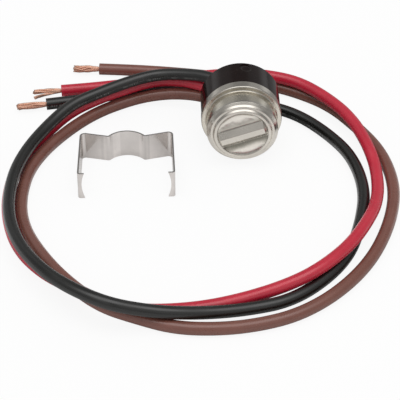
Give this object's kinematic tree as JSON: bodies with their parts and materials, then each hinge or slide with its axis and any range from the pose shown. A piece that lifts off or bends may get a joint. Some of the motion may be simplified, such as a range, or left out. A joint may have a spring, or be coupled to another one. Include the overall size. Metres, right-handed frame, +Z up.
{
  "type": "defrost thermostat",
  "caption": "Snap-disc defrost thermostat with a round metal sensing cup, glossy black moulded housing, loose insulated leads with bared ends and a spring tube clip.",
  "frame": {"origin": "middle of the flat top of the rib on the sensing face, on the switch axis", "axes": "-Y out of the sensing face along the switch axis, +Y towards the leads, +Z up as the part lies on its flange"},
  "size_m": [0.111, 0.1207, 0.023],
  "materials": {
    "cup_metal": "pressed and satin",
    "disc_metal": "rolled",
    "base_moulding": "moulded phenolic",
    "ceramic": "fired ceramic",
    "terminal_brass": "stamped",
    "contact_metal": "rolled",
    "seal_rubber": "soft",
    "housing_plastic": "glossy moulded",
    "potting_resin": "cast resin",
    "black_insulation": "extruded, satin",
    "red_insulation": "extruded, satin",
    "brown_insulation": "extruded, satin",
    "copper": "bare stranded copper",
    "clip_steel": "rolled spring steel"
  },
  "bodies": {
    "root": {"sensing_cup": "cup_metal", "bimetal_disc": "disc_metal", "guide_plate": "base_moulding", "transfer_pin": "ceramic", "switch_base": "base_moulding", "common_terminal": "terminal_brass", "defrost_terminal": "terminal_brass", "fan_terminal": "terminal_brass", "contact_arm": "contact_metal", "arm_rivet": "terminal_brass", "moving_contact": "contact_metal", "defrost_contact": "contact_metal", "fan_contact": "contact_metal", "switch_cover": "base_moulding", "seal_ring": "seal_rubber", "housing": "housing_plastic", "potting": "potting_resin", "black_lead": "black_insulation", "red_lead": "red_insulation", "brown_lead": "brown_insulation", "black_conductor": "copper", "red_conductor": "copper", "brown_conductor": "copper", "mounting_clip": "clip_steel"}
  },
  "joints": []
}
